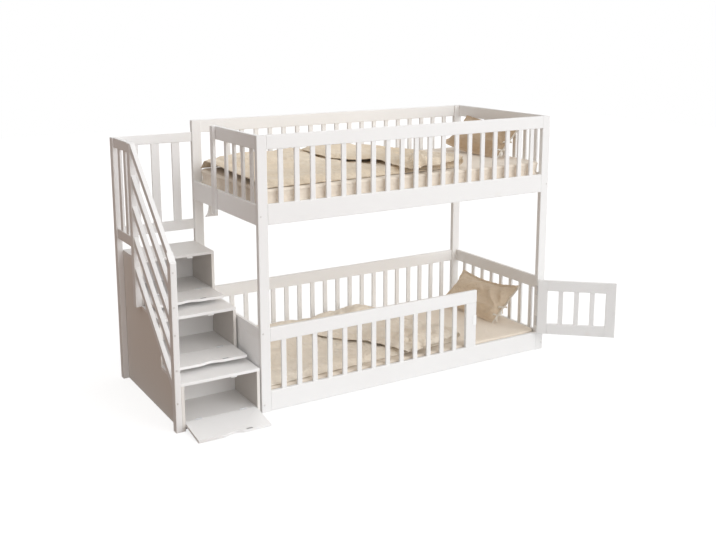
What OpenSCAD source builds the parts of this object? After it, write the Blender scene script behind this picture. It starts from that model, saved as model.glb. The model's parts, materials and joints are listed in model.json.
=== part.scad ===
// Bunk bed with a storage staircase, in millimetres.
// X runs along the bed from the staircase end, Y from the front to the back, Z up.
// The origin is under the middle of the front left bed post, on the floor.

/* [Mattresses] */
// Length of each mattress
mattress_l = 2000; // [1900:10:2100]
// Width of each mattress
mattress_w = 900; // [860:10:1000]
// Thickness of each mattress
mattress_t = 100; // [80:5:120]
// Radius of the mattresses' upright corners
mattress_r = 58; // [30:2:80]
// Depth of the upper mattress's underside below the deck rails' top
upper_sink = 21; // [15:1:40]
// Depth of the lower mattress's underside below the base rails' top
lower_sink = 89; // [70:1:95]

/* [Bed frame] */
// Height of the four bed posts
bed_h = 1555; // [1450:5:1700]
// Width of a bed post along the bed
post_w = 60; // [50:1:75]
// Depth of a bed post across the bed
post_d = 30; // [26:1:45]
// Room between a mattress's end and the outer face of the bed's end
end_room = 30; // [26:1:40]
// Thickness of the rails
rail_t = 22; // [18:1:25]
// Height of the deck rails' underside
deck_z = 1066; // [1000:2:1120]
// Height of the deck rails' section
deck_rail_h = 115; // [90:1:130]
// Height of the upper guard's top rails
guard_rail_h = 77; // [50:1:90]
// Easing of the rails' and posts' edges
ease = 3; // [1:0.5:4]

/* [Upright slats] */
// Width of an upright slat
slat_w = 30; // [20:1:36]
// Thickness of an upright slat
slat_t = 14; // [10:1:17]
// Number of slats in the upper guard's front and back
long_slats = 19; // [14:1:21]
// Number of slats in each closed end guard
end_slats = 8; // [5:1:9]
// Number of slats beside the upper entrance
entrance_slats = 4; // [2:1:4]
// Centre distance of the slats beside the upper entrance
entrance_pitch = 115; // [90:1:118]
// Clear gap between the front left post and the first slat beside the entrance
entrance_first_gap = 44; // [30:1:60]

/* [Upper entrance] */
// Clear width of the entrance between the back post and the entrance post
entrance_w = 334; // [300:1:344]
// Width of the entrance post across the bed
entrance_post_w = 40; // [30:1:45]
// Thickness of the entrance post, which stands proud of the end
entrance_post_t = 20; // [16:1:26]
// Reach of the entrance post below the deck rail
entrance_drop = 30; // [15:1:45]
// Width of the curved cleat under the deck rail beside the entrance
cleat_w = 74; // [50:1:90]
// Thickness of that cleat
cleat_t = 18; // [12:1:22]
// Reach of that cleat below the deck rail
cleat_drop = 76; // [50:1:90]
// Reach of that cleat up behind the deck rail
cleat_up = 55; // [30:1:70]
// Reach of the cleat's toe past the outer face of the bed's end
cleat_toe = 7; // [0:1:12]
// Distance of the cleat behind the entrance post
cleat_in = 154; // [100:2:200]

/* [Lower guard] */
// Height of the base rails' section
base_rail_h = 118; // [110:1:130]
// Clearance of the base rails above the floor
base_lift = 3; // [2:1:6]
// Height of the lower guard's top
lower_top = 487; // [440:1:520]
// Height of the lower guard's top rails
lower_rail_h = 80; // [60:1:90]
// Number of slats in the lower guard's front, beside the gate
lower_slats = 13; // [9:1:15]
// Width of the jamb board that the gate closes against
jamb_w = 80; // [60:1:90]
// Thickness of the boards of the lower left end
end_board_t = 18; // [15:1:22]
// Height of the upper one of those boards
end_board_h = 64; // [50:1:80]

/* [Gate] */
// Clear width of the gate's doorway
doorway_w = 503; // [450:1:540]
// Running gap round the gate
gate_gap = 3; // [3:0.5:5]
// Height of the gate's top and bottom rails
gate_rail_h = 70; // [50:1:80]
// Width of the gate's two stiles
gate_stile_w = 64; // [45:1:70]
// Number of slats in the gate
gate_slat_count = 3; // [2:1:4]
// Angle that the gate stands open
gate_open = 138.4; // [100:0.2:150]
// Width of the gate's catch where it is let into the jamb board
gate_catch_w = 26; // [20:1:32]
// Height of the gate's catch
gate_catch_h = 60; // [40:1:70]
// Reach of the catch behind the gate's stile
gate_catch_over = 18; // [12:1:26]

/* [Slatted bases] */
// Number of cross slats under each mattress
cross_slats = 13; // [9:1:16]
// Width of a cross slat
cross_slat_w = 70; // [50:1:80]
// Thickness of a cross slat
cross_slat_t = 12; // [10:1:15]
// Width of the ledgers that carry the cross slats
ledger_w = 25; // [20:1:32]
// Height of those ledgers
ledger_h = 15; // [12:1:17]

/* [Staircase] */
// Width of the staircase over its posts and side panels
stair_w = 490; // [440:5:540]
// Gap between the staircase's boxes and the bed
stair_gap = 10; // [6:1:15]
// Height of one step
rise = 268.5; // [255:0.5:275]
// Depth of one step
going = 305; // [285:1:312]
// Thickness of the side panels
panel_t = 18; // [15:1:20]
// Thickness of the treads
tread_t = 17; // [14:1:20]
// Thickness of the boards inside the boxes
inner_t = 16; // [12:1:18]
// Thickness of the boxes' back boards
back_t = 9; // [6:1:12]
// Height of a box's floor above the tread that it stands on
floor_up = 44; // [40:1:50]
// Width of the staircase's posts, outside the side panel
stair_post_w = 35; // [30:1:40]
// Depth of the staircase's posts
stair_post_d = 46; // [36:1:55]
// Height of the staircase's two rear posts
stair_top = 1483; // [1400:1:1540]
// Height of the front stair post at its front face
newel_h = 935; // [900:1:980]

/* [Stair guards] */
// Thickness of the stair guards' rails
stair_rail_t = 20; // [16:1:24]
// Height of the stair guards' top rails
stair_top_rail_h = 57; // [45:1:70]
// Height of the stair guards' bottom rails
stair_low_rail_h = 62; // [45:1:70]
// Height of the stair guards' bottom rails above the floor
stair_low_rail_z = 880; // [850:1:920]
// Width of the side guard's slats
side_guard_slat_w = 40; // [30:1:50]
// Number of slats in the side guard
side_guard_slats = 2; // [1:1:3]
// Width of the back guard's slats
back_guard_slat_w = 50; // [30:1:60]
// Number of slats in the back guard
back_guard_slats = 3; // [2:1:4]
// Number of sloping bars beside the steps
bars = 5; // [3:1:5]
// Height of a sloping bar's section, square to its slope
bar_h = 36; // [28:1:50]
// Thickness of a sloping bar
bar_t = 25; // [18:1:30]
// Upright distance from one sloping bar to the next
bar_drop = 178; // [140:1:185]

/* [Box flaps] */
// Thickness of a flap
flap_t = 15; // [12:1:18]
// Length of a flap from its hinged end to its free edge
flap_h = 200; // [180:1:202]
// Gap at each side of a flap
flap_side_gap = 1.5; // [1:0.25:3]
// Depth of the finger wave in a flap's free edge
wave_depth = 15; // [8:1:20]
// Width of the finger wave
wave_w = 140; // [100:5:180]
// Angle by which the lowest flap hangs below level
low_flap_droop = 8; // [0:0.5:8]
// Distance of the catch's middle from the box's right side
catch_from_side = 127; // [60:1:200]
// Length of a magnetic catch
catch_l = 34; // [25:1:45]
// Height of a magnetic catch
catch_h = 13; // [10:1:14]
// Depth of a magnetic catch
catch_d = 14; // [10:1:20]

/* [Hinges] */
// Radius of the flap hinges' pins
flap_pin_r = 1.4; // [1:0.1:1.5]
// Radius of the flap hinges' knuckles
flap_knuckle_r = 3; // [2.6:0.1:3.2]
// Radius of the gate hinges' pins
gate_pin_r = 2; // [1.5:0.1:2.4]
// Radius of the gate hinges' knuckles
gate_knuckle_r = 4.5; // [4:0.1:5]
// Running clearance of a pin in its knuckles
pin_play = 0.05; // [0.02:0.01:0.1]
// Length of a flap hinge
flap_hinge_l = 40; // [30:1:60]
// Length of a gate hinge
gate_hinge_l = 64; // [50:1:80]

/* [Bedding] */
// Length of each duvet along the bed
duvet_l = 1440; // [1200:10:1600]
// Thickness of a duvet where it lies flat
duvet_t = 38; // [25:1:60]
// Thickness that the turned-back part of a duvet adds
duvet_fold = 44; // [20:1:60]
// Height that a duvet's heap adds
duvet_heap = 34; // [15:1:50]
// Length of a pillow across the bed
pillow_l = 600; // [500:10:700]
// Width of a pillow
pillow_w = 310; // [280:10:360]
// Thickness of a pillow at its crown
pillow_t = 120; // [90:5:150]
// Width of the flat flange round a pillow
flange_w = 22; // [10:1:35]
// Angle at which a pillow leans on the right end
pillow_lean = 54; // [40:1:60]
// Distance of a pillow's middle behind the bed's middle
pillow_back = 35; // [0:5:80]
// Reach of a pillow's curled lower corner
pillow_curl = 100; // [40:5:120]

/* [Hidden] */
$fn = 32;

paint = "#f3f1ee";
inside_paint = "#e6e2dd";
bare_pine = "#d9c3a0";
steel = "#b9bcc0";
plastic = "#fafafa";
ticking = "#e6dccb";
linen = "#cdb696";

bed_l = mattress_l + 2 * end_room;
bed_w = mattress_w + 2 * post_d;
soft_gap = 0.4;
flange_t = 5;
fold_turn = 32;
duvet_in = 8;
duvet_end_in = 6;
duvet_rim = 8;
deck_top = deck_z + deck_rail_h;
base_top = base_lift + base_rail_h;
upper_bed_z = deck_top - upper_sink;
lower_bed_z = base_top - lower_sink;
guard_z = bed_h - guard_rail_h;
lower_guard_z = lower_top - lower_rail_h;
slat_in = (rail_t - slat_t) / 2;
inner_l = bed_l - 2 * post_w;
inner_w = bed_w - 2 * post_d;
jamb_x = bed_l - post_w - doorway_w - jamb_w;
entrance_y = bed_w - post_d - entrance_w;

gate_z = base_top + gate_gap;
gate_h = lower_top - gate_z;
gate_l = doorway_w - 2 * gate_gap;
gate_pin_x = bed_l - post_w - gate_gap / 2;
gate_pin_y = -gate_knuckle_r - 0.7;
gate_leaf_t = 1.1;
gate_leaf_d = 18;
gate_hinge_in = 46;
gate_front = 0.5;
gate_catch_z = 292;
gate_catch_d = 16;
gate_catch_proud = 1.5;
gate_strike_w = 14;
gate_strike_h = 30;
strike_t = 1;
strike_gap = 0.3;

stair_x = -stair_gap - stair_w;
box_x = stair_x + stair_post_w;
box_right = -stair_gap;
box_in_l = box_x + panel_t;
box_in_r = box_right - panel_t;
stair_back = bed_w - post_d;
mid_post_y = 2 * going - 12;
back_post_y = bed_w - stair_post_d;
slope = (stair_top - newel_h) / mid_post_y;
back_guard_in = 4;
tongue_l = 60;
tongue_in = 4;
cleat_curve = [for (a = [15 : 15 : 90])
    [rail_t - (rail_t + cleat_toe) * (1 - cos(a)), -cleat_drop * sin(a)]];
bar_rise = bar_h * sqrt(1 + slope * slope);
catch_x = box_in_r - catch_from_side;

flap_in = 0.5;
hinge_half_gap = 2;
flap_leaf_t = 0.8;
flap_leaf_d = 11;
flap_hinge_x = 130;
knuckle_lift = flap_knuckle_r + 0.2;
flap_pin_in = flap_in + flap_t + knuckle_lift;
flap_l = box_in_r - box_in_l - 2 * flap_side_gap;
flap_mid_x = (box_in_l + box_in_r) / 2;
strike_in = 8;
strike_h = 12;

function level_y(k) = k * going;
function level_z(k) = k * rise;
function floor_z(k) = level_z(k) + floor_up;
function box_back(k) = k == 2 ? stair_back - back_t : (k + 1) * going;
function flap_pin(k) = [level_y(k) + flap_pin_in, floor_z(k) + knuckle_lift];

// Outline of a board's end, with its four edges eased in two cuts each.
function eased_points(size, r) = [
    for (c = [[size.x - r, size.y - r, 0], [r, size.y - r, 90], [r, r, 180], [size.x - r, r, 270]])
        for (a = [0, 45, 90]) [c.x + r * cos(c.z + a), c.y + r * sin(c.z + a)]
];

module piece(colour) {
    color(colour) translate([-post_w / 2, -post_d / 2, 0]) children();
}

module board_x(l, t, h, r = ease) {
    rotate([90, 0, 90]) linear_extrude(l) polygon(eased_points([t, h], r));
}

module board_y(l, t, h, r = ease) {
    translate([0, l, 0]) rotate([90, 0, 0]) linear_extrude(l) polygon(eased_points([t, h], r));
}

module board_z(h, w, t, r = ease) {
    linear_extrude(h) polygon(eased_points([w, t], r));
}

// Upright board whose top end has its four corners eased too.
module post(w, d, h) {
    intersection() {
        board_z(h, w, d);
        translate([0, d, 0]) rotate([90, 0, 0]) linear_extrude(d)
            polygon([[0, 0], [w, 0], [w, h - ease], [w - ease, h], [ease, h], [0, h - ease]]);
    }
}

// Row of upright slats that fills a span along X or Y with equal gaps.
module slat_row_x(span, count, w, t, h, r = 2) {
    gap = (span - count * w) / (count + 1);
    for (i = [0 : count - 1]) translate([gap + i * (w + gap), 0, 0]) board_z(h, w, t, r);
}

module slat_row_y(span, count, w, t, h, r = 2) {
    gap = (span - count * w) / (count + 1);
    for (i = [0 : count - 1]) translate([0, gap + i * (w + gap), 0]) board_z(h, t, w, r);
}

module bed_post(x, y) {
    piece(paint) translate([x, y, 0]) post(post_w, post_d, bed_h);
}

module post_front_left() bed_post(0, 0);
module post_front_right() bed_post(bed_l - post_w, 0);
module post_back_left() bed_post(0, bed_w - post_d);
module post_back_right() bed_post(bed_l - post_w, bed_w - post_d);

// Rail between two posts, flush with the posts' outer faces.
module front_rail(z, h, l = inner_l) {
    piece(paint) translate([post_w, 0, z]) board_x(l, rail_t, h);
}

module back_rail(z, h) {
    piece(paint) translate([post_w, bed_w - rail_t, z]) board_x(inner_l, rail_t, h);
}

module left_rail(z, h, l = inner_w) {
    piece(paint) translate([0, post_d, z]) board_y(l, rail_t, h);
}

module right_rail(z, h) {
    piece(paint) translate([bed_l - rail_t, post_d, z]) board_y(inner_w, rail_t, h);
}

module deck_rail_front() front_rail(deck_z, deck_rail_h);
module deck_rail_back() back_rail(deck_z, deck_rail_h);
module deck_rail_left() left_rail(deck_z, deck_rail_h);
module deck_rail_right() right_rail(deck_z, deck_rail_h);

module guard_rail_front() front_rail(guard_z, guard_rail_h);
module guard_rail_back() back_rail(guard_z, guard_rail_h);
module guard_rail_left() left_rail(guard_z, guard_rail_h, entrance_y - post_d);
module guard_rail_right() right_rail(guard_z, guard_rail_h);

module guard_slats_front() {
    piece(paint) translate([post_w, slat_in, deck_top])
        slat_row_x(inner_l, long_slats, slat_w, slat_t, guard_z - deck_top);
}

module guard_slats_back() {
    piece(paint) translate([post_w, bed_w - rail_t + slat_in, deck_top])
        slat_row_x(inner_l, long_slats, slat_w, slat_t, guard_z - deck_top);
}

// The right end is closed; on the left the slats stop at the entrance post.
module guard_slats_ends() {
    h = guard_z - deck_top;
    piece(paint) {
        translate([bed_l - rail_t + slat_in, post_d, deck_top])
            slat_row_y(inner_w, end_slats, slat_w, slat_t, h);
        for (i = [0 : entrance_slats - 1])
            translate([slat_in, post_d + entrance_first_gap + i * entrance_pitch, deck_top])
                board_z(h, slat_t, slat_w, 2);
    }
}

// The entrance post stands on the outer faces of the end rails.
// Behind it a small cleat with a hollow curved edge is screwed inside the deck rail.
module entrance_post() {
    z = deck_z - entrance_drop;
    piece(paint) {
        translate([-entrance_post_t, entrance_y - entrance_post_w, z])
            post(entrance_post_t, entrance_post_w, bed_h - z);
        translate([0, entrance_y + cleat_in, deck_z]) rotate([90, 0, 0]) linear_extrude(cleat_t)
            polygon(concat([[rail_t, cleat_up], [rail_t, 0]], cleat_curve,
                [[cleat_w, -cleat_drop], [cleat_w, cleat_up]]));
    }
}

// Ledgers screwed inside the long rails, under the cross slats.
module slat_ledgers() {
    for (z = [upper_bed_z, lower_bed_z], y = [rail_t, bed_w - rail_t - ledger_w])
        piece(bare_pine) translate([post_w, y, z - cross_slat_t - ledger_h])
            board_x(inner_l, ledger_w, ledger_h, 1.5);
}

module cross_slats(z) {
    end_in = 12;
    span = inner_l - 2 * end_in;
    gap = (span - cross_slats * cross_slat_w) / (cross_slats - 1);
    for (i = [0 : cross_slats - 1])
        piece(bare_pine)
            translate([post_w + end_in + i * (cross_slat_w + gap), rail_t + 1, z - cross_slat_t])
                board_y(bed_w - 2 * rail_t - 2, cross_slat_w, cross_slat_t, 2);
}

module cross_slats_upper() cross_slats(upper_bed_z);
module cross_slats_lower() cross_slats(lower_bed_z);

module base_rail_front() front_rail(base_lift, base_rail_h);
module base_rail_back() back_rail(base_lift, base_rail_h);
module base_rail_right() right_rail(base_lift, base_rail_h);

// Solid lower left end behind the staircase: a wide board and a narrow one above it.
module end_boards_left() {
    seam = lower_top - end_board_h;
    piece(paint) {
        translate([0, post_d, base_lift]) board_y(inner_w, end_board_t, seam - base_lift, 2);
        translate([0, post_d, seam]) board_y(inner_w, end_board_t, lower_top - seam, 2);
    }
}

module lower_rail_front() front_rail(lower_guard_z, lower_rail_h, jamb_x - post_w + jamb_w);
module lower_rail_back() back_rail(lower_guard_z, lower_rail_h);
module lower_rail_right() right_rail(lower_guard_z, lower_rail_h);

module lower_slats_front() {
    piece(paint) translate([post_w, slat_in, base_top])
        slat_row_x(jamb_x - post_w, lower_slats, slat_w, slat_t, lower_guard_z - base_top);
}

module lower_slats_back() {
    piece(paint) translate([post_w, bed_w - rail_t + slat_in, base_top])
        slat_row_x(inner_l, long_slats, slat_w, slat_t, lower_guard_z - base_top);
}

module lower_slats_right() {
    piece(paint) translate([bed_l - rail_t + slat_in, post_d, base_top])
        slat_row_y(inner_w, end_slats, slat_w, slat_t, lower_guard_z - base_top);
}

// Jamb board, notched at its doorway edge for the gate's catch.
module gate_jamb() {
    piece(paint) difference() {
        translate([jamb_x, 0, base_top]) board_z(lower_guard_z - base_top, jamb_w, rail_t);
        translate([jamb_x + jamb_w - gate_catch_w, -1, gate_catch_z - gate_catch_h / 2])
            cube([gate_catch_w + 1, rail_t + 2, gate_catch_h]);
    }
}

// Staircase posts, outside the left side panel.
module stair_post(y, z, h) {
    piece(paint) translate([stair_x, y, z]) post(stair_post_w, stair_post_d, h);
}

// The front post is cut off along the slope of the top bar, with its front corner rounded.
module stair_post_front() {
    r = 12;
    back_h = newel_h + slope * stair_post_d;
    piece(paint) translate([stair_x, 0, 0]) intersection() {
        board_z(back_h, stair_post_w, stair_post_d);
        rotate([90, 0, 90]) linear_extrude(stair_post_w)
            polygon(concat([[stair_post_d, 0], [stair_post_d, back_h]],
                [for (a = [0 : 15 : 90]) [r - r * sin(a), newel_h - r + r * cos(a)]], [[0, 0]]));
    }
}

module stair_post_middle() stair_post(mid_post_y, level_z(2), stair_top - level_z(2));
module stair_post_back() stair_post(back_post_y, 0, stair_top);

// Two stepped side panels that stand on the floor and carry the treads.
module stair_sides() {
    outline = [[0, 0], [stair_back, 0],
        for (k = [2, 1, 0]) each [[k == 2 ? stair_back : level_y(k + 1), level_z(k + 1) - tread_t],
            [level_y(k), level_z(k + 1) - tread_t]]];
    for (x = [box_x, box_right - panel_t])
        piece(paint) translate([x, 0, 0]) rotate([90, 0, 90]) linear_extrude(panel_t)
            polygon(outline);
}

// A tread lies on both side panels; its tongue runs back between them under the next box.
module tread(k) {
    depth = k == 2 ? stair_back - level_y(k) : going;
    piece(paint) translate([0, level_y(k), level_z(k + 1) - tread_t]) {
        translate([box_x, 0, 0]) board_x(box_right - box_x, depth, tread_t, 2);
        if (k < 2) translate([box_in_l, depth - tongue_in, 0])
            cube([box_in_r - box_in_l, tongue_l, tread_t]);
    }
}

module tread_low() tread(0);
module tread_middle() tread(1);
module tread_top() tread(2);

// Floor, kick board and back of each box, between the side panels.
module box_boards() {
    w = box_in_r - box_in_l;
    for (k = [0 : 2]) {
        front = flap_pin(k).x + hinge_half_gap;
        lift = k == 0 ? base_lift : 0;
        back_z = k == 2 ? base_lift : level_z(k) + lift;
        piece(inside_paint) {
            translate([box_in_l, front, floor_z(k) - inner_t])
                cube([w, box_back(k) - front, inner_t]);
            translate([box_in_l, front, level_z(k) + lift])
                cube([w, inner_t, floor_up - inner_t - lift]);
            translate([box_in_l, box_back(k), back_z])
                cube([w, back_t, level_z(k + 1) - tread_t - back_z]);
        }
    }
}

// Guards at the top of the stairs: one over the left side, one along the back.
module stair_guard_rails() {
    in = (stair_post_w - stair_rail_t) / 2;
    y0 = mid_post_y + stair_post_d;
    for (z = [[stair_top - stair_top_rail_h, stair_top_rail_h],
              [stair_low_rail_z, stair_low_rail_h]])
        piece(paint) {
            translate([stair_x + in, y0, z[0]]) board_y(back_post_y - y0, stair_rail_t, z[1]);
            translate([box_x, bed_w - back_guard_in - stair_rail_t, z[0]])
                board_x(-box_x, stair_rail_t, z[1]);
        }
}

module stair_guard_slats() {
    in = (stair_post_w - slat_t) / 2;
    y0 = mid_post_y + stair_post_d;
    z0 = stair_low_rail_z + stair_low_rail_h;
    h = stair_top - stair_top_rail_h - z0;
    piece(paint) {
        translate([stair_x + in, y0, z0])
            slat_row_y(back_post_y - y0, side_guard_slats, side_guard_slat_w, slat_t, h);
        translate([box_x, bed_w - back_guard_in - (stair_rail_t + slat_t) / 2, z0])
            slat_row_x(-box_x, back_guard_slats, back_guard_slat_w, slat_t, h);
    }
}

// Sloping bars from the middle post down to the front post, one under the other.
module stair_bars() {
    in = (stair_post_w - bar_t) / 2;
    y0 = stair_post_d;
    y1 = mid_post_y;
    for (i = [0 : bars - 1]) {
        top = newel_h - i * bar_drop;
        piece(paint) translate([stair_x + in, 0, 0]) rotate([90, 0, 90]) linear_extrude(bar_t)
            polygon([[y0, top + slope * y0], [y1, top + slope * y1],
                [y1, top + slope * y1 - bar_rise], [y0, top + slope * y0 - bar_rise]]);
    }
}

// One half of a butt hinge along X: knuckles of the listed spans and a hanging leaf.
// Side is 1 for the half on the box's floor and -1 for the half on the flap.
module flap_leaf(spans, side) {
    l = flap_hinge_l;
    leaf_y = side > 0 ? hinge_half_gap - flap_leaf_t : -hinge_half_gap;
    difference() {
        union() {
            for (s = spans) translate([s[0] - l / 2, 0, 0]) rotate([0, 90, 0])
                cylinder(r = flap_knuckle_r, h = s[1] - s[0]);
            translate([-l / 2, leaf_y, -knuckle_lift - flap_leaf_d])
                cube([l, flap_leaf_t, flap_leaf_d]);
            for (s = spans) translate([s[0] - l / 2, leaf_y, -knuckle_lift])
                cube([s[1] - s[0], flap_leaf_t, knuckle_lift]);
        }
        translate([-l / 2 - 1, 0, 0]) rotate([0, 90, 0])
            cylinder(r = flap_pin_r + pin_play, h = l + 2);
    }
}

function outer_spans(l) = [[0, 0.3 * l], [0.7 * l, l]];
function inner_span(l) = [[0.3 * l + 0.5, 0.7 * l - 0.5]];

module at_flap_hinges(k) {
    for (s = [-1, 1])
        translate([flap_mid_x + s * flap_hinge_x, flap_pin(k).x, flap_pin(k).y]) children();
}

// One half of a gate hinge along Z, drawn about its pin.
module gate_leaf(spans, side) {
    l = gate_hinge_l;
    leaf_x = side > 0 ? gate_gap / 2 - gate_leaf_t : -gate_gap / 2;
    leaf_y = gate_knuckle_r + 0.3;
    difference() {
        union() {
            for (s = spans) translate([0, 0, s[0]]) cylinder(r = gate_knuckle_r, h = s[1] - s[0]);
            translate([leaf_x, leaf_y, 0]) cube([gate_leaf_t, gate_leaf_d, l]);
            for (s = spans) translate([leaf_x, 0, s[0]]) cube([gate_leaf_t, leaf_y, s[1] - s[0]]);
        }
        translate([0, 0, -1]) cylinder(r = gate_pin_r + pin_play, h = l + 2);
    }
}

module at_gate_hinges() {
    for (z = [gate_z + gate_hinge_in, gate_z + gate_h - gate_hinge_in - gate_hinge_l])
        translate([gate_pin_x, gate_pin_y, z]) children();
}

module hinge_bases() {
    piece(steel) {
        for (k = [0 : 2]) at_flap_hinges(k) flap_leaf(outer_spans(flap_hinge_l), 1);
        at_gate_hinges() gate_leaf(outer_spans(gate_hinge_l), 1);
    }
}

module hinge_pins() {
    piece(steel) {
        for (k = [0 : 2]) at_flap_hinges(k) translate([-flap_hinge_l / 2, 0, 0])
            rotate([0, 90, 0]) cylinder(r = flap_pin_r, h = flap_hinge_l);
        at_gate_hinges() cylinder(r = gate_pin_r, h = gate_hinge_l);
    }
}

// A catch hangs under each tread. The gate's own is let into the jamb board's edge, and
// its nose stands behind the shut gate's stile.
module magnet_catches() {
    plate_y = gate_front + rail_t + strike_t + strike_gap;
    back_y = rail_t + gate_catch_d;
    piece(plastic) {
        for (k = [0 : 2])
            translate([catch_x - catch_l / 2, level_y(k) + flap_in + flap_t + strike_t + strike_gap,
                    level_z(k + 1) - tread_t - catch_h])
                cube([catch_l, catch_d, catch_h]);
        translate([jamb_x + jamb_w - gate_catch_w, 0, gate_catch_z - gate_catch_h / 2])
            linear_extrude(gate_catch_h) polygon([[0, -gate_catch_proud],
                [gate_catch_w, -gate_catch_proud], [gate_catch_w, plate_y],
                [gate_catch_w + gate_catch_over, plate_y], [gate_catch_w + gate_catch_over, back_y],
                [0, back_y]]);
    }
}

// Corners of a rounded rectangle, as a ring of points at one height.
function ring(half, r, z) = [
    for (c = [[1, 1, 0], [-1, 1, 90], [-1, -1, 180], [1, -1, 270]]) for (a = [0 : 18 : 90])
        [c.x * (half.x - r) + r * cos(c.z + a), c.y * (half.y - r) + r * sin(c.z + a), z]
];

// Closed solid through a stack of rings with equally many points.
module ring_solid(rings) {
    n = len(rings[0]);
    last = len(rings) - 1;
    sides = [for (k = [0 : last - 1]) for (i = [0 : n - 1]) let (j = (i + 1) % n) each [
        [k * n + i, (k + 1) * n + i, (k + 1) * n + j], [k * n + i, (k + 1) * n + j, k * n + j]]];
    bottom = [for (i = [1 : n - 2]) [0, i, i + 1]];
    top = [for (i = [1 : n - 2]) [last * n, last * n + i + 1, last * n + i]];
    polyhedron([for (r = rings) each r], concat(sides, bottom, top));
}

// Mattress: crowned top and bottom, piped edges, and sides that draw in between the pipings.
// Each level is an inset from the full outline, a share of the thickness, and how much
// smaller the corner radius is.
module mattress(z) {
    levels = [[24, 0, 14], [8, 0.03, 6], [0, 0.1, 0], [1, 0.17, 0], [4, 0.22, 4],
        [6, 0.5, 6], [4, 0.78, 4], [1, 0.83, 0], [0, 0.9, 0], [8, 0.965, 6],
        [24, 0.985, 14], [150, 0.995, 14], [320, 1, 14]];
    half = [mattress_l, mattress_w] / 2 - [soft_gap, soft_gap];
    piece(ticking) translate([bed_l / 2, bed_w / 2, z + soft_gap])
        ring_solid([for (v = levels)
            ring(half - [v[0], v[0]], mattress_r - v[2], v[1] * (mattress_t - soft_gap))]);
}

module mattress_upper() mattress(upper_bed_z);
module mattress_lower() mattress(lower_bed_z);

// Closed solid between an upper and a lower surface over the same square of parameters.
module soft_solid(nx, ny, upper, lower) {
    row = ny + 1;
    count = (nx + 1) * row;
    function at(i, j, layer) = layer * count + i * row + j;
    points = [for (f = [lower, upper]) for (i = [0 : nx]) for (j = [0 : ny])
        f(2 * i / nx - 1, 2 * j / ny - 1)];
    sheets = [for (i = [0 : nx - 1]) for (j = [0 : ny - 1]) each [
        [at(i, j, 0), at(i + 1, j, 0), at(i + 1, j + 1, 0)],
        [at(i, j, 0), at(i + 1, j + 1, 0), at(i, j + 1, 0)],
        [at(i, j, 1), at(i + 1, j + 1, 1), at(i + 1, j, 1)],
        [at(i, j, 1), at(i, j + 1, 1), at(i + 1, j + 1, 1)]]];
    front_and_back = [for (i = [0 : nx - 1]) each [
        [at(i, 0, 0), at(i + 1, 0, 1), at(i + 1, 0, 0)],
        [at(i, 0, 0), at(i, 0, 1), at(i + 1, 0, 1)],
        [at(i, ny, 0), at(i + 1, ny, 0), at(i + 1, ny, 1)],
        [at(i, ny, 0), at(i + 1, ny, 1), at(i, ny, 1)]]];
    left_and_right = [for (j = [0 : ny - 1]) each [
        [at(0, j, 0), at(0, j + 1, 0), at(0, j + 1, 1)],
        [at(0, j, 0), at(0, j + 1, 1), at(0, j, 1)],
        [at(nx, j, 0), at(nx, j + 1, 1), at(nx, j + 1, 0)],
        [at(nx, j, 0), at(nx, j, 1), at(nx, j + 1, 1)]]];
    polyhedron(points, concat(sheets, front_and_back, left_and_right));
}

// Smooth step from 0 to 1 as v goes from a to b.
function ramp(a, b, v) = let (t = max(0, min(1, (v - a) / (b - a)))) t * t * (3 - 2 * t);

// A duvet's own axes start at the mattress's front left corner; u and v are shares of the
// duvet's length and the mattress's width.
// Behind a slanting edge its end is turned back over it, and bunches up into a heap.
function duvet_height(x, y) =
    let (u = x / duvet_l, v = y / mattress_w, crease = duvet_t / 8,
        past = (x - duvet_l * 0.68) * cos(fold_turn) + y * sin(fold_turn))
    duvet_t + duvet_fold * ramp(0, duvet_fold, past)
    + duvet_heap * exp(-pow((u - 0.7) / 0.16, 2) - pow((v - 0.72) / 0.21, 2))
    + crease * sin(720 * u + 40 * sin(450 * v))
    + 1.4 * crease * sin(2160 * past / duvet_l + 30 * sin(630 * v))
        * ramp(1.4 * duvet_fold, 3.6 * duvet_fold, past)
    + 0.8 * crease * sin(990 * v - 288 * u);

// Its front edge draws back from the mattress's edge towards the turned-back end.
module duvet(z) {
    function rim(a) = sqrt(1 - pow(abs(a), 10));
    function plan(a, b) = let (x = duvet_l * (a + 1) / 2, front = duvet_in + 0.05 * x)
        [x + (a > 0 ? duvet_l / 100 * a * sin(b * 300) : 0),
            front + (mattress_w - 1.5 * duvet_in - front) * (b + 1) / 2];
    function top(a, b) = let (p = plan(a, b))
        [p.x, p.y, duvet_rim + duvet_height(p.x, p.y) * rim(a) * rim(b)];
    function under(a, b) = let (p = plan(a, b)) [p.x, p.y, 0];
    piece(linen) translate([end_room + duvet_end_in, post_d, z + soft_gap])
        soft_solid(26, 16, function(a, b) top(a, b), function(a, b) under(a, b));
}

module duvet_upper() duvet(upper_bed_z + mattress_t);
module duvet_lower() duvet(lower_bed_z + mattress_t);

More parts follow.
